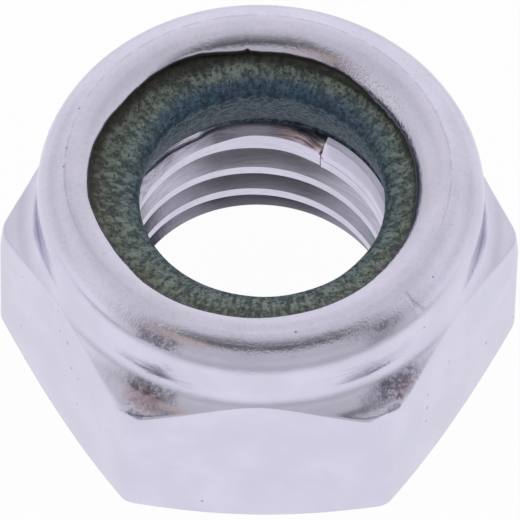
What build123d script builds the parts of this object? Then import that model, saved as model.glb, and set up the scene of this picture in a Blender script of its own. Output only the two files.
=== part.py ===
"""Hexagon lock nut with a nylon ring, M16 x 2, all sizes in millimetres.

The origin is the centre of the bearing face, +Z runs up the thread axis to the rolled crown,
and the hexagon has two of its corners on the X axis.
"""

import os
from math import acos, asin, ceil, degrees, radians, sqrt, tan

from build123d import *
from build123d.topology import SkipClean

# Hexagon
across_flats = 24.0
corner_rounding = 0.8  # rounding of the six upright corners
bearing_face_margin = 0.75  # from the flats in to the round bearing face
bearing_chamfer_angle = 30.0  # rise of the chamfer around that face
shoulder_height = 9.35  # lowest level of the hollow sweep above the hexagon

# Collar, and the crown that is rolled from it over the ring
total_height = 15.0
collar_margin = 0.2  # from the flats in to the collar's wall
collar_wall = 1.8
foot_radius = 2.1  # hollow sweep from the collar's wall out to the corners
crown_outer_radius = 2.0
crown_inner_radius = 1.9
lip_overhang = 1.35  # from the pocket's wall in to the lip's edge
lip_thickness = 0.9

# Pocket that holds the ring
pocket_floor_height = 9.5
pocket_chamfer = 0.4

# Thread, ISO metric form, right-handed
thread_diameter = 16.0
pitch = 2.0
thread_start_depth = 2.2  # groove centre below the bearing face, on the +X side
entry_countersink_margin = 0.65  # from the thread's major radius out to the countersink's rim
entry_countersink_depth = 2.0
exit_countersink_margin = 0.4
exit_countersink_depth = 1.5

# Nylon ring
throat_grip = 1.5  # from the thread's major radius in to the ring's narrowest bore
mouth_grip = 1.0  # the same at the ring's lower end, above the thread
ring_rim_radius = 1.0
ring_rim_drop = 1.7  # from the top of the crown down to the ring's rim
ring_clearance = 0.03  # between the ring and the pocket's wall

# Thread section
flank_angle = 30.0  # each flank, from square to the axis
groove_root_width = pitch / 8
groove_mouth_width = pitch - pitch / 4
thread_depth = (groove_mouth_width - groove_root_width) / (2 * tan(radians(flank_angle)))
major_radius = thread_diameter / 2
minor_radius = major_radius - thread_depth
tap_overlap = thread_depth / 10  # the tap's tooth stands this far into the core hole
tap_turns = ceil((thread_start_depth + pocket_floor_height) / pitch) + 1
tap_tip_width = groove_mouth_width + 2 * tap_overlap * tan(radians(flank_angle))

# Radii and levels that follow from the sizes above
flat_distance = across_flats / 2
corner_radius = across_flats / sqrt(3)
bearing_radius = flat_distance - bearing_face_margin
bearing_chamfer_height = (corner_radius - bearing_radius) * tan(radians(bearing_chamfer_angle))
collar_radius = flat_distance - collar_margin
pocket_radius = collar_radius - collar_wall
foot_centre = (collar_radius + foot_radius, shoulder_height + foot_radius)
foot_sweep = degrees(acos((foot_centre[0] - corner_radius) / foot_radius))
nose_radius = lip_thickness / 2
nose_reach = collar_wall + lip_overhang - crown_outer_radius - nose_radius
roll_angle = degrees(asin(nose_reach / (crown_inner_radius - nose_radius)))
web_top = pocket_floor_height - exit_countersink_depth
ring_radius = pocket_radius - ring_clearance
throat = (major_radius - throat_grip, total_height - ring_rim_drop - ring_rim_radius)
mouth = (major_radius - mouth_grip, pocket_floor_height)

# Nut body: a blank with a turned section and a closed web, cut to the hexagon, pierced and tapped
with BuildPart() as nut_body:
    with BuildSketch(Plane.XZ):
        with BuildLine():
            foot = CenterArc(foot_centre, foot_radius, 180 + foot_sweep, -foot_sweep)
            wall = Line(foot @ 1, (collar_radius, total_height - crown_outer_radius))
            crown_outer = JernArc(wall @ 1, (0, 1), crown_outer_radius, 90)
            crown_inner = JernArc(crown_outer @ 1, (-1, 0), crown_inner_radius, roll_angle)
            nose = JernArc(crown_inner @ 1, crown_inner % 1, nose_radius, 180 - roll_angle)
            lip_underside = (nose @ 1).Y
            Polyline(
                nose @ 1,
                (pocket_radius - pocket_chamfer, lip_underside),
                (pocket_radius, lip_underside - pocket_chamfer),
                (pocket_radius, pocket_floor_height),
                (major_radius + exit_countersink_margin, pocket_floor_height),
                (minor_radius, web_top),
                (0, web_top),
                (0, entry_countersink_depth),
                (minor_radius, entry_countersink_depth),
                (major_radius + entry_countersink_margin, 0),
                (bearing_radius, 0),
                (corner_radius, bearing_chamfer_height),
                foot @ 0,
            )
        make_face()
    revolve(axis=Axis.Z)
    with BuildSketch() as hexagon:
        RegularPolygon(radius=flat_distance, side_count=6, major_radius=False)
        fillet(hexagon.vertices(), corner_rounding)
    extrude(amount=total_height, mode=Mode.INTERSECT)
    with BuildLine() as thread_turn:
        Helix(
            pitch=pitch,
            height=pitch,
            radius=minor_radius,
            center=(0, 0, -thread_start_depth),
        )
    with BuildSketch(Plane.XZ.shift_origin((0, 0, -thread_start_depth))):
        with BuildLine():
            Polyline(
                (minor_radius - tap_overlap, -tap_tip_width / 2),
                (major_radius, -groove_root_width / 2),
                (major_radius, groove_root_width / 2),
                (minor_radius - tap_overlap, tap_tip_width / 2),
                close=True,
            )
        make_face()
    tap_turn = sweep(path=thread_turn.line, is_frenet=True, mode=Mode.PRIVATE)
    # The core hole has two half walls, so that each half turn of the crest is a face of its own
    with SkipClean():
        with PolarLocations(0, 2):
            Cylinder(
                minor_radius,
                pocket_floor_height,
                arc_size=180,
                align=(Align.CENTER, Align.MIN, Align.MIN),
                mode=Mode.SUBTRACT,
            )
        with Locations([(0, 0, turn * pitch) for turn in range(tap_turns)]):
            add(tap_turn, mode=Mode.SUBTRACT)

# Nylon insert: a ring pressed into the pocket and held down by the crown's lip
with BuildPart() as nylon_insert:
    with BuildSketch(Plane.XZ):
        with BuildLine():
            bore = TangentArc(throat, mouth, tangent=(0, -1))
            rim = JernArc(throat, (0, 1), ring_rim_radius, -90)
            Polyline(
                rim @ 1,
                nose @ 1,
                (ring_radius - pocket_chamfer, lip_underside),
                (ring_radius, lip_underside - pocket_chamfer),
                (ring_radius, pocket_floor_height),
                bore @ 1,
            )
        make_face()
    revolve(axis=Axis.Z)

os.makedirs("parts", exist_ok=True)
for label, piece in {"nut_body": nut_body, "nylon_insert": nylon_insert}.items():
    piece.part.label = label
    export_step(piece.part, f"parts/{label}.step")
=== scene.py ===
"""Looks of the nylon insert lock nut: steel body, nylon ring, floor, light and camera.

The pieces are modelled in millimetres around the thread axis and brought to metres when finished.
"""

from math import asin, atan2, cos, degrees, hypot, pi, radians, sin, sqrt, tan

import bmesh
import bpy
from mathutils import Matrix, Vector, noise


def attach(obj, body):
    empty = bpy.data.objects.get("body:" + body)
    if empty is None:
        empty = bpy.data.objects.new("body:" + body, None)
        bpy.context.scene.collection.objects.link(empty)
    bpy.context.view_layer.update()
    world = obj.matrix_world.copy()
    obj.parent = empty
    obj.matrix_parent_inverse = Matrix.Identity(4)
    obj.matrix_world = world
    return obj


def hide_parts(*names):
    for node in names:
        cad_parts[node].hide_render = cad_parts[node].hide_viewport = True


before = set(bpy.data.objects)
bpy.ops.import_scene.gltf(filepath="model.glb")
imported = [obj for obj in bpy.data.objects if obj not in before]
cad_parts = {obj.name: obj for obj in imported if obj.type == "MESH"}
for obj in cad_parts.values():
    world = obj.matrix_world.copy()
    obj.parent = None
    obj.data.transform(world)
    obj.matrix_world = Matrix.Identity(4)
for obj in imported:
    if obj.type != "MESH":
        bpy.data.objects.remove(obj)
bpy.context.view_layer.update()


# ---------------------------------------------------------------------------------------------
# Nut body: zinc-plated steel, cold-formed as one piece. A turned blank with six pressed flats,
# a hollow sweep up to a round collar, and a crown rolled inwards over the nylon ring. The bore
# is countersunk at both ends and tapped M16 x 2.

across_flats = 24.0
flat_distance = across_flats / 2
corner_rounding = 0.8
corner_centre = (flat_distance - corner_rounding) / cos(radians(30))
corner_half_angle = atan2(
    corner_rounding * sin(radians(30)),
    corner_centre + corner_rounding * cos(radians(30)),
)
sector = radians(60)
columns = 432
column_crowding = 0.62  # how far the columns crowd towards the corners

bearing_radius = 11.25
bearing_chamfer = radians(30)
bearing_edge_round = 0.18
hexagon_foot_round = 0.22
hexagon_top_round = 0.24
hexagon_top_round_at_corners = 0.44
round_change = radians(8)  # the larger round fades out this far from a corner
# Corners blunted by handling: the azimuth in degrees, and the radius left at the sweep's edge
corner_knocks = [(-60, 13.28), (-120, 13.47), (0, 13.55), (180, 13.55), (60, 13.5), (120, 13.55)]
knock_slope = tan(radians(11))
knock_half_angle = 12  # degrees
knock_softness = 0.16
knocked_from_radius = 12.0
knocked_below = 10.2

foot_centre = (13.9, 11.45)
foot_radius = 2.1
collar_radius = 11.8
crown_centre = (9.8, 13.0)
crown_radius = 2.0
roll_centre = (9.8, 13.1)
roll_radius = 1.9
nose_radius = 0.30
lip_radius = 8.65
lip_shift = Vector((-0.39, -0.43, 0.0))
# How far the lip's edge strays from that circle, from -90 degrees on round to 270
lip_strays = [
    (-90, 0.04), (-60, 0.05), (-30, -0.02), (-15, -0.07), (5, -0.06), (20, 0.0), (40, 0.0),
    (50, 0.08), (60, 0.16), (70, 0.16), (78, 0.10), (90, 0.06), (96, 0.09), (101, 0.07),
    (107, 0.10), (113, 0.16), (120, 0.15), (130, 0.07), (140, -0.02), (150, -0.10),
    (160, -0.04), (170, 0.05), (190, 0.0), (200, -0.08), (210, -0.14), (220, -0.12),
    (230, 0.0), (245, 0.03), (270, 0.04),
]
nick_azimuth = radians(95.8)
nick_depth = 0.15
nick_half_width = radians(0.9)
ragged_azimuth = radians(38)  # the lip's edge is roughest here
lip_underside = 13.92
pocket_radius = 10.0
pocket_floor = 9.5
pocket_chamfer = 0.4
entry_rim = 8.75
entry_rim_bevel = (0.13, 0.05)
entry_depth = 2.0
exit_rim = 8.4
web_top = 8.0  # the full bore ends here, and the countersink to the pocket starts
pitch = 2.0
major_radius = 8.0
minor_radius = 6.9175
thread_start = -2.2
groove_root_width = 0.25
groove_mouth_width = 1.42
bell_mouth = 0.38  # how far the press opened the bore above the last full thread


def arc(centre, radius, start, end, steps):
    """Points (radius, height) along an arc of the section, both ends included."""
    turns = [start + (end - start) * step / steps for step in range(steps + 1)]
    return [(centre[0] + radius * cos(a), centre[1] + radius * sin(a)) for a in turns]


def run(start, end, steps):
    """Points along a straight run of the section, without its two ends."""
    parts = [step / steps for step in range(1, steps)]
    return [
        (start[0] + (end[0] - start[0]) * t, start[1] + (end[1] - start[1]) * t)
        for t in parts
    ]


def hexagon_radius(azimuth):
    """Distance from the axis to the hexagon's side, with its corners rounded."""
    turn = abs((azimuth + sector / 2) % sector - sector / 2)
    if turn > corner_half_angle:
        return flat_distance / cos(sector / 2 - turn)
    return corner_centre * cos(turn) + sqrt(
        corner_rounding**2 - (corner_centre * sin(turn)) ** 2
    )


def ease(low, high, value):
    """Smooth step from 0 at low to 1 at high."""
    t = min(max((value - low) / (high - low), 0.0), 1.0)
    return t * t * (3 - 2 * t)


def degrees_round(azimuth):
    """The azimuth in degrees, from -90 on round to 270."""
    return degrees((azimuth + radians(90)) % (2 * pi)) - 90


def lip_edge(azimuth):
    """Radius of the lip's edge, which the roll left off centre and slightly uneven."""
    at = Vector((cos(azimuth), sin(azimuth), 0.0))
    along = at.dot(lip_shift)
    across = lip_shift.length_squared - along**2
    circle = along + sqrt(lip_radius**2 - across)
    wave = 0.05 * noise.noise(at * 3.1 + Vector((4.0, 1.0, 2.0)))
    roughest = Vector((cos(ragged_azimuth), sin(ragged_azimuth), 0.0))
    ragged = ease(0.85, 0.97, at.dot(roughest))
    burr = (0.012 + 0.03 * ragged) * noise.noise(at * 26.0 + Vector((0.5, 7.0, 1.0)))
    off_nick = abs((azimuth - nick_azimuth + pi) % (2 * pi) - pi)
    nick = nick_depth * (1 - ease(0.0, nick_half_width, off_nick))
    turn = degrees_round(azimuth)
    for (low, first), (high, last) in zip(lip_strays, lip_strays[1:]):
        if low <= turn <= high:
            stray = first + (last - first) * ease(low, high, turn)
    return circle + wave + burr + nick + stray


def corner_blend(azimuth):
    """Radius of the hexagon's top edge, which is larger over the corners."""
    off_corner = abs((azimuth + sector / 2) % sector - sector / 2)
    more = hexagon_top_round_at_corners - hexagon_top_round
    return hexagon_top_round + more * (1 - ease(0.0, round_change, off_corner))


def knocked(azimuth, radius, height):
    """Radius at this height once the blunted corner is taken off with a steep cone."""
    for corner, reach in corner_knocks:
        off = abs((degrees(azimuth) - corner + 180) % 360 - 180)
        if off < knock_half_angle:
            level = foot_centre[1] - sqrt(foot_radius**2 - (foot_centre[0] - reach) ** 2)
            cone = reach + knock_slope * (level - height)
            blend = max(1.0 - abs(radius - cone) / knock_softness, 0.0)
            return min(radius, cone) - knock_softness / 4 * blend * blend
    return radius


def bore_top(azimuth):
    """The bore's points above the full threads: opened at the back right, torn at the back left."""
    turn = degrees_round(azimuth)
    opened = bell_mouth * ease(61.8, 63.0, turn) * (1 - ease(100, 150, turn))
    opened = opened * (0.25 + 0.75 * ease(62, 84, turn))
    torn = ease(104, 116, turn) * (1 - ease(168, 180, turn))
    torn = torn * (1.0 + 0.3 * noise.noise(Vector((turn * 0.07, 3.0, 0.0))))
    plain = ease(-45, -35, turn) * (1 - ease(60, 61.8, turn))
    step = thread_start + 4 * pitch + pitch * turn / 360
    radius = minor_radius + opened
    worn = ease(62, 80, turn) * (1 - ease(180, 200, turn))
    crest_end = step + 1.33 + 0.32 * (1 - ease(6, 24, abs(turn - 86)))
    start = (web_top + opened + 1.2 * plain) * (1 - worn) + crest_end * worn
    rim = exit_rim - 0.7 * torn - 1.1 * plain
    points = run((minor_radius, entry_depth), (minor_radius, step - 0.04), 6)
    points += [(minor_radius, step - 0.04), (radius, step + 0.04)]
    # The last groove is left only on one side, where it runs out into the pocket
    last = ease(61.8, 62.6, turn) * (1 - ease(170, 190, turn)) * (1 - 0.45 * torn)
    outer = radius + (major_radius - radius) * last
    points += run(points[-1], (radius, start), 3)
    points += [(radius, start), (outer, start + 0.02 + 0.40 * last)]
    points += [(outer + 0.01, start + 0.04 + 0.62 * last)]
    points += run(points[-1], (rim, pocket_floor), 4)
    points += [(rim, pocket_floor)]
    points += run(points[-1], (pocket_radius, pocket_floor), 3)
    return points


def body_section(azimuth):
    """The closed section at one azimuth, from the pocket's floor up, over the crown and back."""
    side = hexagon_radius(azimuth)
    top_round = corner_blend(azimuth)
    # The lip reaches further round where its edge lies nearer to the axis
    roll_reach = roll_radius - nose_radius
    roll = asin((roll_centre[0] - lip_edge(azimuth) - nose_radius) / roll_reach)
    roll_end = pi / 2 + roll
    nose_centre = (
        roll_centre[0] - roll_reach * sin(roll),
        roll_centre[1] + roll_reach * cos(roll),
    )
    # Rounded edge between the hollow sweep and the flat
    round_centre_r = side - top_round
    reach = foot_radius + top_round
    fall = sqrt(reach**2 - (foot_centre[0] - round_centre_r) ** 2)
    top_round_centre = (round_centre_r, foot_centre[1] - fall)
    top_round_turn = atan2(fall, foot_centre[0] - round_centre_r)
    # Rounded edge between the flat and the chamfer under it
    low_r = side - hexagon_foot_round
    low_z = (low_r - bearing_radius) * tan(bearing_chamfer) + hexagon_foot_round / cos(
        bearing_chamfer
    )
    low_round_centre = (low_r, low_z)
    rest_round_centre = (
        bearing_radius - bearing_edge_round * tan(bearing_chamfer / 2),
        bearing_edge_round,
    )
    points = [(pocket_radius, pocket_floor)]
    points += run(points[-1], (pocket_radius, lip_underside - pocket_chamfer), 4)
    points += [
        (pocket_radius, lip_underside - pocket_chamfer),
        (pocket_radius - 0.2, lip_underside - 0.15),
    ]
    points += arc(nose_centre, nose_radius, radians(-70), roll_end - 2 * pi, 14)
    points += arc(roll_centre, roll_radius, roll_end, radians(90), 20)[1:]
    points += arc(crown_centre, crown_radius, radians(90), 0, 26)[1:]
    points += run(points[-1], (collar_radius, foot_centre[1]), 3)
    points += arc(foot_centre, foot_radius, pi, pi + top_round_turn, 20)
    points += arc(top_round_centre, top_round, top_round_turn, 0, 6)[1:]
    points += run(points[-1], (side, low_z + 5.0), 14)
    points += run(points[-1], (side, low_z), 5)
    points = [
        (knocked(azimuth, radius, height), height)
        if radius > knocked_from_radius and height < knocked_below
        else (radius, height)
        for radius, height in points
    ]
    points += arc(low_round_centre, hexagon_foot_round, 0, bearing_chamfer - pi / 2, 4)
    points += run(
        points[-1],
        (
            rest_round_centre[0] + bearing_edge_round * sin(bearing_chamfer),
            bearing_edge_round * (1 - cos(bearing_chamfer)),
        ),
        4,
    )
    points += arc(rest_round_centre, bearing_edge_round, bearing_chamfer - pi / 2, -pi / 2, 3)
    points += run(points[-1], (entry_rim, 0.0), 4)
    points += [(entry_rim, 0.0), (entry_rim - entry_rim_bevel[0], entry_rim_bevel[1])]
    points += run(points[-1], (minor_radius, entry_depth), 4)
    points += [(minor_radius, entry_depth)]
    points += bore_top(azimuth)
    return points


def as_object(name, mesh_maker, scale=0.001):
    """Turns a finished bmesh into an object at the origin, in metres."""
    bmesh.ops.recalc_face_normals(mesh_maker, faces=mesh_maker.faces)
    bmesh.ops.scale(mesh_maker, vec=(scale, scale, scale), verts=mesh_maker.verts)
    mesh = bpy.data.meshes.new(name)
    mesh_maker.to_mesh(mesh)
    mesh_maker.free()
    piece = bpy.data.objects.new(name, mesh)
    bpy.context.scene.collection.objects.link(piece)
    return piece


def spun(section, steps):
    """A section of (radius, height) points spun a full turn. Each vertex keeps its place in it."""
    maker = bmesh.new()
    place = maker.verts.layers.int.new("place")
    ring = []
    for index, (radius, height) in enumerate(section):
        vertex = maker.verts.new((radius, 0.0, height))
        vertex[place] = index
        ring.append(vertex)
    edges = [maker.edges.new(pair) for pair in zip(ring, ring[1:] + ring[:1])]
    bmesh.ops.spin(
        maker,
        geom=ring + edges,
        cent=(0, 0, 0),
        axis=(0, 0, 1),
        dvec=(0, 0, 0),
        angle=2 * pi,
        steps=steps,
        use_merge=True,
        use_duplicate=False,
    )
    return maker, place


blank, place = spun(body_section(0.0), columns)
sections = {}
for vertex in blank.verts:
    column = round(atan2(vertex.co.y, vertex.co.x) / (2 * pi / columns)) % columns
    if column not in sections:
        plain = column * 2 * pi / columns
        azimuth = plain - column_crowding * sin(6 * plain) / 6
        sections[column] = (azimuth, body_section(azimuth))
    azimuth, section = sections[column]
    radius, height = section[vertex[place]]
    vertex.co = (radius * cos(azimuth), radius * sin(azimuth), height)
blank.faces.layers.float.new("tapped")  # 0 here and 1 on the tap, so that the flanks are known
body = as_object("steel_body", blank, 1.0)

# The tap: a helical tooth around a core that is slimmer than the hole, closed at both ends
tap_overlap = 0.1
core_radius = minor_radius - tap_overlap
mouth_half = groove_mouth_width / 2 + tap_overlap * tan(radians(30))
root_half = groove_root_width / 2
half_tooth = [
    (major_radius, root_half - 0.04),
    (major_radius - 0.06, root_half + 0.03),
    (core_radius, mouth_half),
    (core_radius, pitch / 2),
]
tooth = [(radius, -height) for radius, height in reversed(half_tooth)] + half_tooth
turns = 4.75
run_out = 0.14  # share of a turn over which the groove fades out at the tap's upper end
steps_per_turn = 180
tap = bmesh.new()
profile = [tap.verts.new((r, 0.0, z + thread_start)) for r, z in tooth]
edges = [tap.edges.new(pair) for pair in zip(profile, profile[1:])]
bmesh.ops.spin(
    tap,
    geom=profile + edges,
    cent=(0, 0, 0),
    axis=(0, 0, 1),
    dvec=(0, 0, pitch / steps_per_turn),
    angle=2 * pi * turns,
    steps=round(steps_per_turn * turns),
    use_merge=False,
    use_duplicate=False,
)
bmesh.ops.remove_doubles(tap, verts=tap.verts, dist=0.0005)
for vertex in tap.verts:
    part = atan2(vertex.co.y, vertex.co.x) / (2 * pi) % 1.0
    past = (part - (turns % 1.0)) / run_out + 1.0
    above = vertex.co.z - thread_start - pitch * (int(turns) + part)
    if 0.0 < past < 1.01 and above > -0.99 * pitch / 2:
        radius = vertex.co.xy.length
        shallow = min(radius, core_radius + (radius - core_radius) * (1.0 - past))
        vertex.co.xy *= max(shallow, core_radius) / radius
open_edges = [edge for edge in tap.edges if edge.is_boundary]
half_way = 4.0  # between the tap's two ends
for end in (-1, 1):
    rim = [
        edge
        for edge in open_edges
        if edge.is_valid and (edge.verts[0].co.z > half_way) == (end > 0)
    ]
    grown = bmesh.ops.extrude_edge_only(tap, edges=rim)
    tips = [item for item in grown["geom"] if isinstance(item, bmesh.types.BMVert)]
    level = sum(v.co.z for v in tips) / len(tips)
    bmesh.ops.pointmerge(tap, verts=tips, merge_co=(0.0, 0.0, level))
flanks = tap.faces.layers.float.new("tapped")
for face in tap.faces:
    face[flanks] = 1.0
tap_piece = as_object("tap", tap, 1.0)

cut = body.modifiers.new("tapping", "BOOLEAN")
cut.operation = "DIFFERENCE"
cut.solver = "MANIFOLD"
cut.object = tap_piece
bpy.context.view_layer.update()
tapped = bpy.data.meshes.new_from_object(
    body.evaluated_get(bpy.context.evaluated_depsgraph_get())
)
body.modifiers.clear()
body.data = tapped
bpy.data.objects.remove(tap_piece)
finished = bmesh.new()
finished.from_mesh(tapped)
bmesh.ops.remove_doubles(finished, verts=finished.verts, dist=0.0004)
bmesh.ops.scale(finished, vec=(0.001, 0.001, 0.001), verts=finished.verts)
for face in finished.faces:
    face.smooth = True
for edge in finished.edges:
    edge.smooth = edge.is_manifold and edge.calc_face_angle(0.0) < radians(28)
finished.to_mesh(body.data)
finished.free()


class Wire:
    """An output of a shader tree. Sums on outputs add Math nodes, and node() adds any other."""

    def __init__(self, tree, socket=None):
        self.tree = tree
        self.socket = socket

    def node(self, kind, settings=None, sockets=None, output=0, stops=None):
        """Adds a node, sets it up, feeds its sockets and returns one of its outputs."""
        made = self.tree.nodes.new("ShaderNode" + kind)
        for name, value in (settings or {}).items():
            setattr(made, name, value)
        if stops:
            marks = made.color_ramp.elements
            while len(marks) < len(stops):
                marks.new(0.5)
            for mark, (position, colour) in zip(marks, stops):
                mark.position = position
                mark.color = (*colour, 1.0) if len(colour) == 3 else colour
        for name, value in (sockets or {}).items():
            if isinstance(value, Wire):
                self.tree.links.new(value.socket, made.inputs[name])
            else:
                made.inputs[name].default_value = value
        return Wire(self.tree, made.outputs[output] if made.outputs else None)

    def math(self, operation, *values, clamp=False):
        settings = {"operation": operation, "use_clamp": clamp}
        return self.node("Math", settings, dict(enumerate(values)))

    def __add__(self, other):
        return self.math("ADD", self, other)

    def __sub__(self, other):
        return self.math("SUBTRACT", self, other)

    def __rsub__(self, other):
        return self.math("SUBTRACT", other, self)

    def __mul__(self, other):
        return self.math("MULTIPLY", self, other)

    __radd__ = __add__
    __rmul__ = __mul__

    def ramp(self, low, high):
        """Smooth step of this value from 0 at low to 1 at high."""
        settings = {"interpolation_type": "SMOOTHSTEP"}
        return self.node("MapRange", settings, {0: self, 1: low, 2: high, 3: 0.0, 4: 1.0})

    def band(self, centre, half_width, softness):
        """1 within half_width of centre, falling to 0 over the softness on each side."""
        return 1.0 - (self - centre).math_abs().ramp(half_width, half_width + softness)

    def math_abs(self):
        return self.math("ABSOLUTE", self)

    def near(self, point, inner, outer):
        """1 within the inner distance of a point, falling to 0 at the outer one."""
        settings = {"operation": "DISTANCE"}
        gap = self.node("VectorMath", settings, {0: self, 1: point}, output=1)
        return 1.0 - gap.ramp(inner, outer)

    def along(self, first, last, inner, outer):
        """1 within the inner distance of a stroke between two points, 0 beyond the outer one."""
        stroke = Vector(last) - Vector(first)
        offset = self.node("VectorMath", {"operation": "SUBTRACT"}, {0: self, 1: first})
        sockets = {0: offset, 1: stroke / stroke.length_squared}
        share = self.node("VectorMath", {"operation": "DOT_PRODUCT"}, sockets, output=1)
        share = self.math("MULTIPLY", share, 1.0, clamp=True)
        foot = self.node("VectorMath", {"operation": "SCALE"}, {0: stroke, "Scale": share})
        sockets = {0: offset, 1: foot}
        gap = self.node("VectorMath", {"operation": "DISTANCE"}, sockets, output=1)
        return 1.0 - gap.ramp(inner, outer)

    def strokes(self, points, widths):
        """Strokes along a chain of points, each with its inner and outer distance."""
        chain = zip(points, points[1:], widths)
        return sum(self.along(first, last, *width) for first, last, width in chain)

    def tint(self, factor, first, second, blend_type="MIX"):
        """Colour that goes from first to second as the factor goes from 0 to 1."""
        settings = {"data_type": "RGBA", "blend_type": blend_type}
        return self.node("Mix", settings, {0: factor, 6: first, 7: second}, output=2)

    def stained(self, amount, stain):
        """This colour multiplied by a stain, in part."""
        return self.tint(amount, self, stain, "MULTIPLY")


def new_material(name):
    """An empty material and the wire that its nodes start from."""
    material = bpy.data.materials.new(name)
    material.use_nodes = True
    material.node_tree.nodes.clear()
    return material, Wire(material.node_tree)


def millimetres(start):
    """Object position in millimetres, its three parts, and its distance from the axis."""
    place = start.node("TexCoord", output=3)
    place = start.node("VectorMath", {"operation": "SCALE"}, {0: place, "Scale": 1000.0})
    split = start.node("SeparateXYZ", {}, {0: place})
    parts = [Wire(start.tree, output) for output in split.socket.node.outputs]
    distance = start.math("SQRT", parts[0] * parts[0] + parts[1] * parts[1])
    return place, parts[0], parts[1], parts[2], distance


def grain(start, place, scale, detail=3.0, roughness=0.5, distortion=0.0):
    """Noise from 0 to 1 at so many grains per millimetre."""
    sockets = {
        "Vector": place,
        "Scale": scale,
        "Detail": detail,
        "Roughness": roughness,
        "Distortion": distortion,
    }
    return start.node("TexNoise", {}, sockets)


steel, start = new_material("bright_zinc_steel")
place_mm, x, y, z, distance = millimetres(start)
turn = start.math("ARCTAN2", y, x) * (180 / pi)
mottle = grain(start, place_mm, 0.35, 4.0)
peel = grain(start, place_mm, 1.3, 3.0, 0.6)
pebble = grain(start, place_mm, 3.6, 4.0, 0.6)
grit = grain(start, place_mm, 7.5, 3.0, 0.6)
worn = grain(start, place_mm, 0.5, 2.0).ramp(0.42, 0.62)

# Bore: ridges left by the tap lie along the flanks, and the last thread is torn at the back left
in_bore = (1.0 - distance.ramp(8.5, 8.7)) * (1.0 - z.ramp(9.5, 9.8))
flank = in_bore * start.node("Attribute", {"attribute_name": "tapped"}, output=2)
land = in_bore - flank
ridge_place = start.node("CombineXYZ", {}, {0: x * 0.35, 1: y * 0.35, 2: z * 9.0})
ridges = grain(start, ridge_place, 1.0, 5.0, 0.6)
scratches = grain(start, ridge_place, 2.4, 2.0, 0.5)
torn = in_bore * turn.band(140.0, 34.0, 10.0) * z.ramp(7.7, 7.9)
chip_place = start.node("CombineXYZ", {}, {0: x * 0.45, 1: y * 0.45, 2: z * 4.0})
chips = grain(start, chip_place, 1.0, 3.0, 0.6, 0.5)
burnt = in_bore * turn.band(72.0, 5.0, 14.0) * z.ramp(7.75, 8.0) * turn.ramp(60.5, 62.5)
notch = place_mm.strokes(
    [(3.42, 6.28, 8.30), (3.17, 6.20, 7.82), (3.34, 6.12, 7.66)],
    [(0.05, 0.14), (0.03, 0.11)],
)
notch = in_bore * notch * (0.4 + 0.6 * grit.ramp(0.35, 0.5))
crack = in_bore * place_mm.strokes(
    [(-2.90, 6.67, 8.54), (-3.99, 5.92, 8.28), (-5.14, 5.05, 8.38), (-5.83, 4.08, 8.19)],
    [(0.03, 0.13), (0.02, 0.11), (0.02, 0.10)],
)
seam_level = 7.16  # of the fine line on the last crest, at azimuth 0
seam = (z - turn * (pitch / 360) - seam_level).band(0.0, 0.02, 0.05)
seam = land * seam * (1.0 - turn.ramp(60.0, 62.0))
# Painted shade in the gap between the pocket's floor and the nylon ring
gap_shade = z.band(pocket_floor, 0.04, 0.04) * distance.band(9.2, 0.9, 0.1)
burrs = torn * z.band(8.66, 0.12, 0.12)
# Painted shade under the nylon ring, brownish, round the back of the bore
shade_under_ring = in_bore * z.ramp(8.8, 9.1) * turn.ramp(60.0, 68.0) * (1.0 - torn)

# Sweep and crown: drawn marks where the forming die rubbed, a rolled line round the crown
sweep_x = foot_centre[0] - distance
sweep_z = foot_centre[1] - z
from_sweep = start.math("SQRT", sweep_x * sweep_x + sweep_z * sweep_z)
above_sweep = z.ramp(11.3, 11.6)
in_sweep = from_sweep.band(foot_radius, 0.05, 0.06) * (1.0 - in_bore) * (1.0 - above_sweep)
on_collar = distance.band(collar_radius, 0.05, 0.06) * above_sweep * (1.0 - z.ramp(12.9, 13.1))
in_corner = in_sweep * distance.ramp(12.1, 12.5)
rubbed = turn.band(-117.0, 8.0, 5.0) * z.band(11.6, 0.3, 0.25)
rubbed = rubbed + 0.8 * turn.band(-61.0, 11.0, 5.0) * z.band(12.2, 0.3, 0.25)
rubbed = rubbed * (in_sweep + on_collar)
rub_place = start.node("CombineXYZ", {}, {0: x * 0.22, 1: y * 0.22, 2: z * 2.0})
rubs = grain(start, rub_place, 1.0, 1.0, 0.4)
on_top = z.ramp(13.9, 14.2) * distance.ramp(7.8, 8.0)
off_centre = start.math("SQRT", (x + 0.17) * (x + 0.17) + y * y)
off_centre = off_centre + 0.16 * (peel - 0.5) + 0.10 * (grit - 0.5)
rolled = on_top * (1.0 - off_centre.ramp(10.08, 10.24))
rolled_line = on_top * off_centre.band(10.17, 0.02, 0.07) * y.ramp(-8.0, 0.0) * peel.ramp(0.36, 0.5)

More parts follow.
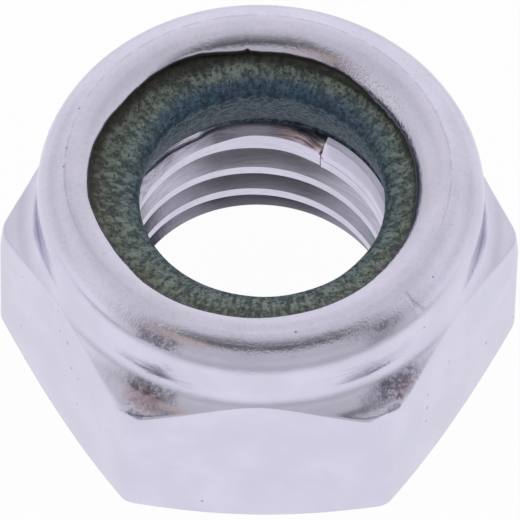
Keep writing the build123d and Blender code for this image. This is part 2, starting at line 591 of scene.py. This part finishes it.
shade = start.tint(mottle.ramp(0.35, 0.7), (0.64, 0.625, 0.755, 1), (0.69, 0.67, 0.81, 1))
stains = [
    (rolled * 0.5, (0.90, 0.87, 0.86, 1)),
    (on_top * (1.0 - (0.5 * grit + 0.5 * pebble).ramp(0.36, 0.52)) * 0.5, (0.88, 0.86, 0.87, 1)),
    (rolled_line * 0.45, (0.70, 0.64, 0.68, 1)),
    (flank * 0.28 * (1.0 - ridges.ramp(0.30, 0.58)), (0.25, 0.24, 0.30, 1)),
    (torn * (1.0 - chips.ramp(0.42, 0.52)) * 0.4, (0.48, 0.46, 0.44, 1)),
    (burrs * 0.8 * (1.0 - scratches.ramp(0.48, 0.58)), (0.52, 0.49, 0.43, 1)),
    # Painted shade under the nylon ring, over the torn thread
    (torn * z.ramp(9.1, 9.35), (0.40, 0.39, 0.33, 1)),
    (seam * 0.6, (0.40, 0.39, 0.44, 1)),
    (gap_shade * 0.5, (0.20, 0.19, 0.17, 1)),
    (crack, (0.15, 0.14, 0.16, 1)),
    (land * (1.0 - scratches.ramp(0.40, 0.56)) * 0.45, (0.72, 0.70, 0.72, 1)),
    (shade_under_ring * 0.35, (0.50, 0.42, 0.36, 1)),
    (flank * ridges.ramp(0.46, 0.60) * 0.4, (0.52, 0.49, 0.50, 1)),
    (land * scratches.ramp(0.56, 0.64) * 0.3, (0.60, 0.58, 0.60, 1)),
    (notch, (0.18, 0.14, 0.15, 1)),
    # Painted shade: the flanks darker towards the bottom of the bore
    (flank * (1.0 - z.ramp(4.0, 5.4)) * 0.6, (0.5, 0.5, 0.52, 1)),
    (burnt * 0.8, (0.74, 0.58, 0.56, 1)),
    (burnt * (1.0 - scratches.ramp(0.42, 0.50)) * 0.8, (0.45, 0.36, 0.34, 1)),
]
for amount, stain in stains:
    shade = shade.stained(amount, stain)
shade = start.tint(burnt * scratches.ramp(0.58, 0.64) * 0.8, shade, (0.90, 0.76, 0.60, 1))
shade = shade.stained(rubbed * rubs.band(0.47, 0.03, 0.10) * 0.4, (0.72, 0.72, 0.74, 1))

# Front corners, sweep and crown: painted shade and warm reflection in the hollows, scuffs, a
# painted tan highlight
# Painted shade in the front corner hollows, by the collar wall and at the bottom tips, mottled like
# a rough surface
hollow_shade = turn.band(-117.5, 4.0, 5.0) * distance.band(12.16, 0.12, 0.16)
right_hollow_shade = (1.0 - distance.ramp(12.45, 12.95)) * distance.ramp(11.95, 12.1)
hollow_shade = hollow_shade + turn.band(-53.0, 3.5, 4.0) * right_hollow_shade
hollow_shade = hollow_shade + 0.45 * turn.band(-60.0, 3.0, 3.0) * distance.band(12.5, 0.3, 0.3)
# Painted shade at the bottom tips of the two front hollows
tip_shade = place_mm.along((-6.65, -11.60, 9.42), (-6.20, -11.85, 9.42), 0.12, 0.28)
tip_shade = tip_shade + place_mm.along((6.95, -11.25, 9.50), (7.35, -11.00, 9.50), 0.12, 0.28)
hollow_shade = hollow_shade + place_mm.near((7.45, -10.55, 9.68), 0.12, 0.3)
speckle_grain = (0.6 * pebble + 0.4 * grit).ramp(0.40, 0.54)
speckle_grain = speckle_grain * (0.45 + 0.55 * peel.ramp(0.36, 0.52))
shade = shade.stained(in_sweep * hollow_shade * speckle_grain * 0.85, (0.38, 0.36, 0.42, 1))
shade = shade.stained(tip_shade * (0.4 + 0.6 * speckle_grain) * 0.7, (0.38, 0.36, 0.42, 1))
scuff = turn.band(-54.5, 2.5, 4.5) * distance.band(11.30, 0.10, 0.20)
scuff = scuff + turn.band(-117.0, 4.0, 4.0) * distance.band(11.52, 0.16, 0.16)
scuff = scuff * z.ramp(13.6, 13.8)
shade = shade.stained(scuff * speckle_grain * 0.9, (0.50, 0.47, 0.52, 1))
# A thin painted warm highlight along the front of the crown
tan_highlight = place_mm.strokes(
    [(-5.43, -9.79, 14.43), (-4.41, -10.10, 14.54), (-2.83, -10.74, 14.51)],
    [(0.03, 0.12), (0.01, 0.10)],
)
shade = start.tint(tan_highlight * grit.ramp(0.38, 0.60) * 0.6, shade, (0.90, 0.72, 0.58, 1))
# A painted warm reflection in the middle of both front hollows, broken up by the rough surface
warm_reflection = turn.band(-118.5, 2.5, 4.0) * distance.band(12.65, 0.35, 0.35)
warm_reflection = warm_reflection + 0.8 * turn.band(-52.5, 1.5, 2.0) * distance.band(12.6, 0.25, 0.25)
shade = shade.stained(in_sweep * warm_reflection * pebble.ramp(0.30, 0.60), (0.80, 0.66, 0.64, 1))
# Painted shade on the lip's underside: near black, dull and less metallic there
facing_up = start.node("SeparateXYZ", {}, {0: start.node("TexCoord", output=1)}, output=2)
shade_under_lip = (1.0 - facing_up.ramp(0.30, 0.55)) * z.ramp(13.3, 13.4)
shade_under_lip = shade_under_lip * (1.0 - distance.ramp(9.4, 9.5))
shade = shade.stained(shade_under_lip, (0.06, 0.05, 0.04, 1))
frayed = on_top * turn.band(43.0, 9.0, 7.0) * distance.band(8.45, 0.2, 0.3)
shade = shade.stained(frayed * (1.0 - grit.ramp(0.38, 0.50)) * 0.5, (0.60, 0.58, 0.56, 1))

shoulder = land * z.ramp(7.9, 8.1) * (1.0 - turn.ramp(57.0, 62.0)) * turn.ramp(-40.0, -20.0)
# Pits in the plating: x, y, z and size
pit_places = [
    (-12.48, -2.39, 8.39, 0.05),
    (-11.03, -4.90, 11.05, 0.07),
    (-10.57, -5.70, 10.09, 0.05),
    (-12.60, -2.18, 3.50, 0.06),
    (-11.22, -4.56, 6.45, 0.04),
    (-10.46, -5.88, 8.49, 0.06),
    (-10.06, -6.58, 8.41, 0.09),
    (-9.86, -6.93, 6.58, 0.08),
    (-9.48, -7.58, 6.51, 0.06),
    (-9.53, -7.50, 3.98, 0.05),
    (-2.84, -12.00, 1.72, 0.06),
    (10.08, -6.55, 7.14, 0.06),
    (12.14, -2.97, 3.69, 0.08),
    (13.63, -0.40, 2.42, 0.06),
    (11.15, -4.68, 4.67, 0.04),
    (8.98, -8.45, 6.78, 0.07),
    (8.95, -8.49, 5.62, 0.09),
    (8.93, -8.53, 4.44, 0.06),
    (8.97, -8.08, 10.90, 0.08),
    (8.63, -8.05, 12.50, 0.06),
    (9.04, -6.28, 14.60, 0.05),
    (1.88, -10.12, 14.94, 0.06),
    (5.72, 6.35, 14.35, 0.05),
    (-9.62, 3.95, 14.90, 0.05),
    (-10.25, 1.40, 14.95, 0.05),
    (-10.40, 0.20, 14.95, 0.06),
    (-10.45, -1.90, 14.93, 0.05),
]
pitted = sum(place_mm.near(place, size * 0.4, size * 1.9) for *place, size in pit_places)
shade = shade.stained(pitted * 0.75, (0.30, 0.29, 0.33, 1))
gouge = place_mm.along((7.60, -7.47, 14.79), (7.92, -7.76, 14.52), 0.03, 0.16)
gouge = gouge + 0.8 * place_mm.along((8.04, -7.84, 14.40), (8.48, -7.88, 13.90), 0.05, 0.22)
shade = shade.stained(gouge * 0.5, (0.72, 0.70, 0.72, 1))

chatter = distance.ramp(10.8, 10.95) * z.band(14.5, 0.3, 0.25)
chatter = chatter + on_top * (1.0 - distance.ramp(8.6, 8.9))
rough = 0.10 + 0.05 * mottle + 0.03 * grit + 0.06 * in_bore
rough = rough + 0.08 * in_corner + 0.22 * shoulder + 0.5 * shade_under_lip
height = 1.2 * peel + (1.8 + 5.0 * worn + 2.5 * in_corner) * pebble
height = height + (4.5 + 8.0 * worn - 1.5 * in_corner) * grit
height = height * (1.0 - 0.7 * in_bore) + (4.5 * flank + 1.4 * land) * ridges + 18.0 * torn * chips
height = height + 0.8 * rubbed * rubs
height = height + (5.5 * chatter + 9.0 * scuff + 3.0 * hollow_shade * in_sweep) * (grit + pebble)
height = height - 9.0 * gouge - 14.0 * crack + 6.0 * frayed * grit
bumped = start.node("Bump", {}, {"Strength": 1.0, "Distance": 1e-6, "Height": height})
surface = start.node(
    "BsdfPrincipled",
    {},
    {
        "Base Color": shade,
        "Metallic": 1.0 - shade_under_lip,
        "Roughness": rough,
        "Specular Tint": (0.90, 0.90, 0.92, 1),
        "Normal": bumped,
    },
)
start.node("OutputMaterial", {}, {"Surface": surface})
body.data.materials.clear()
body.data.materials.append(steel)
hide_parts("nut_body")
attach(body, "root")


# ---------------------------------------------------------------------------------------------
# Nylon insert: a moulded ring of blue-green nylon, pressed into the pocket and held down by the
# crown's lip. Its bore is narrower than the thread, so that a bolt cuts its own thread in it.

ring_radius = 9.97
throat = (6.5, 12.3)
rim_radius = 1.0
rim_top = (7.5, 13.3)
lip_line = (9.1, lip_underside)
ring_chamfer = 0.4
mouth = (7.16, pocket_floor)
throat_shift = Vector((0.09, 0.15, 0.0))


def ring_section():
    """The closed section of the ring, from the mouth up the bore, over the rim and back down."""
    bore = []
    for step in range(25):
        height = mouth[1] + (throat[1] - mouth[1]) * step / 24
        flare = (mouth[0] - throat[0]) * ((throat[1] - height) / (throat[1] - mouth[1])) ** 2
        bore.append((throat[0] + flare, height))
    points = bore
    points += arc((rim_top[0], throat[1]), rim_radius, pi, pi / 2, 16)[1:]
    points += run(points[-1], lip_line, 18)
    points += [lip_line, (ring_radius - ring_chamfer, lip_underside)]
    points += [(ring_radius, lip_underside - ring_chamfer)]
    points += run(points[-1], (ring_radius, mouth[1]), 4)
    points += [(ring_radius, mouth[1])]
    points += run(points[-1], mouth, 6)
    return points


ring_maker, place = spun(ring_section(), 360)
for vertex in ring_maker.verts:
    radius = hypot(vertex.co.x, vertex.co.y)
    height = vertex.co.z
    azimuth = atan2(vertex.co.y, vertex.co.x)
    if height > 9.6 and radius < 9.9:
        top = ease(12.0, 13.3, height)
        outer = ease(7.7, 9.1, radius) * top
        inner = 1 - ease(7.4, 8.6, radius)
        move = lip_shift * outer + throat_shift * inner
        at = Vector((cos(azimuth), sin(azimuth), height * 0.12))
        radius += 0.05 * inner * noise.noise(at * 2.3)
        at = vertex.co.copy()
        height += 0.05 * top * noise.noise(at * 0.6) * (1 - ease(9.0, 9.4, radius))
        lump = 0.022 * noise.noise(at * 2.7) + 0.012 * noise.noise(at * 6.5)
        radius += lump * (1 - top)
        height += lump * top
        new = Vector((radius * cos(azimuth), radius * sin(azimuth), height)) + move
        flat = hypot(new.x, new.y)
        if flat > ring_radius:
            new.x *= ring_radius / flat
            new.y *= ring_radius / flat
        vertex.co = new
ring = as_object("nylon_ring", ring_maker)
for polygon in ring.data.polygons:
    polygon.use_smooth = True

nylon, start = new_material("blue_green_nylon")
place_mm, x, y, z, distance = millimetres(start)
on_wall = 1.0 - z.ramp(12.3, 12.9)
flake_place = start.node("CombineXYZ", {}, {0: x * 3.2, 1: y * 3.2, 2: z * 5.5})
cloud = grain(start, place_mm, 0.7, 4.0, 0.6)
coarse = grain(start, place_mm, 2.2, 4.0, 0.6, 0.3)
blotch = grain(start, place_mm, 4.6, 3.0, 0.6, 0.2)
flow_x, flow_y = [start.math("DIVIDE", part, distance) * 8.0 for part in (x, y)]
flow_place = start.node("CombineXYZ", {}, {0: flow_x, 1: flow_y, 2: distance * 0.5})
flow = grain(start, flow_place, 3.4, 3.0, 0.6, 0.2)
flake = grain(start, flake_place, 1.0, 4.0, 0.62, 0.3)
fleck = grain(start, place_mm, 8.0, 2.0, 0.6)
lip_x = x - lip_shift.x
lip_y = y - lip_shift.y
lip_gap = start.math("SQRT", lip_x * lip_x + lip_y * lip_y)
# Painted shade on the nylon by the lip's edge
shade_by_lip = (lip_gap + 0.5 * (cloud - 0.5)).ramp(8.2, 8.62) * z.ramp(13.4, 13.6)
outward = (distance + 1.8 * (cloud - 0.5)).ramp(7.4, 8.9)
around = start.math("ARCTAN2", y, x) * (180 / pi)
on_rim = z.band(12.86, 0.26, 0.26) * (1.0 - distance.ramp(7.4, 7.9))
on_rim = on_rim * (0.40 + 0.55 * around.band(90.0, 35.0, 50.0))
tone = 0.30 * coarse + 0.20 * blotch + 0.38 * flow + 0.12 * fleck
light_patch = start.tint(on_wall, tone, flake).ramp(0.43, 0.58)
olive = start.tint(light_patch, (0.016, 0.020, 0.013, 1), (0.160, 0.165, 0.126, 1))
green = start.tint(light_patch, (0.030, 0.056, 0.054, 1), (0.218, 0.272, 0.240, 1))
blue = start.tint(light_patch, (0.016, 0.045, 0.085, 1), (0.058, 0.125, 0.200, 1))
inside = start.tint(light_patch, (0.010, 0.034, 0.070, 1), (0.155, 0.250, 0.320, 1))
colour = start.tint(outward, green, olive)
colour = start.tint(on_wall, colour, inside)
colour = start.tint(on_rim, colour, blue)
pits = grain(start, place_mm, 5.0, 2.0, 0.5)
pit = (1.0 - pits.ramp(0.355, 0.415)) * (1.0 - 0.7 * on_wall)
colour = start.tint(pit * 0.9, colour, (0.010, 0.013, 0.012, 1))
light_speck = fleck.ramp(0.60, 0.72) * (1.0 - on_wall)
colour = start.tint(light_speck * 0.5, colour, (0.24, 0.25, 0.18, 1))
sparkle = flake.ramp(0.70, 0.76) * on_wall
colour = start.tint(sparkle * 0.8, colour, (0.45, 0.50, 0.48, 1))
# Painted shade by the lip, dark brown
colour = colour.stained(shade_by_lip, (0.22, 0.20, 0.16, 1))
relief = 14.0 * fleck + 26.0 * blotch + 26.0 * coarse + 60.0 * on_wall * flake
bumped = start.node("Bump", {}, {"Strength": 1.0, "Distance": 1e-6, "Height": relief})
surface = start.node(
    "BsdfPrincipled",
    {},
    {
        "Base Color": colour,
        "Roughness": 0.42 + 0.2 * blotch,
        "Normal": bumped,
        "IOR": 1.53,
    },
)
start.node("OutputMaterial", {}, {"Surface": surface})
ring.data.materials.append(nylon)
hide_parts("nylon_insert")
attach(ring, "root")


# ---------------------------------------------------------------------------------------------
# Floor: a plain white sheet that the nut stands on. It keeps a faint shadow around the nut.

floor_radius = 60.0
floor_gap_below = 0.02
floor_maker = bmesh.new()
bmesh.ops.create_circle(floor_maker, cap_ends=True, segments=96, radius=floor_radius)
bmesh.ops.translate(floor_maker, verts=floor_maker.verts, vec=(0, 0, -floor_gap_below))
floor_sheet = as_object("floor", floor_maker)
white, start = new_material("white_sheet")
rays = start.node("LightPath")
seen = [
    Wire(start.tree, rays.socket.node.outputs[name])
    for name in ("Is Camera Ray", "Is Glossy Ray", "Is Transmission Ray")
]
glow = start.math("MAXIMUM", start.math("MAXIMUM", seen[0], seen[1]), seen[2])
sheet = start.node("BsdfDiffuse", {}, {"Color": (0.82, 0.82, 0.82, 1)})
place_mm, x, y, z, distance = millimetres(start)
# Painted shade on the sheet, seen only in reflections: greyer further out, and more so ahead of the
# nut
ahead = (0.0 - y).ramp(4.0, 22.0)
floor_shade = 0.10 * distance.ramp(24.0, 60.0) + 0.30 * ahead * distance.ramp(22.0, 50.0)
fade = 1.0 - floor_shade * (1.0 - seen[0])
bright = start.node("Emission", {}, {"Color": (1, 1, 1, 1), "Strength": fade})
surface = start.node("MixShader", {}, {0: glow * 0.97, 1: sheet, 2: bright})
start.node("OutputMaterial", {}, {"Surface": surface})
floor_sheet.data.materials.append(white)


# ---------------------------------------------------------------------------------------------
# Light: a white tent all round. Its front opening, through which the nut is looked at, is a
# little greyer, with a dark frame along its top and its two sides.

tent = bpy.data.worlds.new("white_tent")
bpy.context.scene.world = tent
tent.use_nodes = True
tent.node_tree.nodes.clear()
start = Wire(tent.node_tree)
direction = start.node("TexCoord", output=0)
split = start.node("SeparateXYZ", {}, {0: direction})
dx, dy, dz = [Wire(start.tree, output) for output in split.socket.node.outputs]
elevation = start.math("ARCSINE", dz) * (180 / pi)
turn = start.math("ARCTAN2", dx, 0.0 - dy) * (180 / pi)
side = (turn - 3.5).math_abs()
opening = (1.0 - side.ramp(38.0, 46.0)) * (1.0 - elevation.ramp(34.0, 47.0))
opening = opening * (0.285 + 0.1 * elevation.band(-12.0, 4.0, 10.0))
top_edge = elevation.ramp(33.0, 48.0) * (1.0 - elevation.ramp(52.0, 88.0))
top_edge = top_edge * (1.0 - side.ramp(40.0, 64.0))
side_edge = side.band(49.0, 3.0, 8.0) * (1.0 - elevation.ramp(50.0, 66.0))
penumbra = (1.0 - side.ramp(58.0, 78.0)) * side.ramp(44.0, 50.0)
penumbra = penumbra * (1.0 - elevation.ramp(60.0, 76.0))
right = turn.ramp(0.0, 6.0)
dark = start.math("MAXIMUM", 0.82 * top_edge, (0.76 - 0.16 * right) * side_edge)
dark = start.math("MAXIMUM", dark, opening)
dark = start.math("MAXIMUM", dark, (0.27 + 0.12 * right) * penumbra)
around = turn.math_abs()
haze = (turn + 3.0).math_abs().band(115.0, 12.0, 24.0) * elevation.band(6.0, 6.0, 20.0)
dome = 0.12 * elevation.ramp(-5.0, 15.0) * (1.0 - around.ramp(140.0, 165.0))
dome = dome + 0.12 * elevation.ramp(38.0, 58.0)
light = (1.0 - dark) * (1.0 - 0.13 * haze) * (1.0 - dome)
straight = start.node("LightPath", output=0)
light = start.math("MAXIMUM", light, straight)
warm = turn.band(-36.0, 7.0, 9.0) * elevation.band(39.0, 6.0, 8.0)
wood = turn.band(-45.0, 6.0, 8.0) * elevation.band(28.0, 14.0, 10.0)
tent_colour = start.tint(warm * 0.9, (1, 1, 1, 1), (1.0, 0.84, 0.70, 1))
tent_colour = start.tint(wood * 0.7 * (1.0 - warm), tent_colour, (1.0, 0.84, 0.80, 1))
light = start.math("MAXIMUM", light, 0.62 * warm)
backdrop = start.node("Background", {}, {"Color": tent_colour, "Strength": light})
start.node("OutputWorld", {}, {"Surface": backdrop})


# ---------------------------------------------------------------------------------------------
# Camera: looks down on the nut from the front through a long lens.

unit = 0.024  # the nut's width across flats, in metres
camera_elevation = 0.9652
camera_turn = 0.0128
camera_roll = -0.0252
aside = -0.0064 * unit
above = -0.1622 * unit
away = 26.802 * unit
level = Vector((cos(camera_turn), -sin(camera_turn), 0.0))
rise = Vector(
    (
        sin(camera_turn) * sin(camera_elevation),
        cos(camera_turn) * sin(camera_elevation),
        cos(camera_elevation),
    )
)
forward = level.cross(rise) * -1.0
to_right = level * cos(camera_roll) - rise * sin(camera_roll)
to_top = level * sin(camera_roll) + rise * cos(camera_roll)
stand = to_right * -aside + to_top * -above + forward * -away
camera_data = bpy.data.cameras.new("camera")
camera_data.sensor_width = 36.0
camera_data.lens = 831.6
camera = bpy.data.objects.new("camera", camera_data)
turned = Matrix((to_right, to_top, forward * -1.0)).transposed().to_4x4()
camera.matrix_world = Matrix.Translation(stand) @ turned
bpy.context.scene.collection.objects.link(camera)
bpy.context.scene.camera = camera
bpy.context.scene.view_settings.view_transform = "Standard"
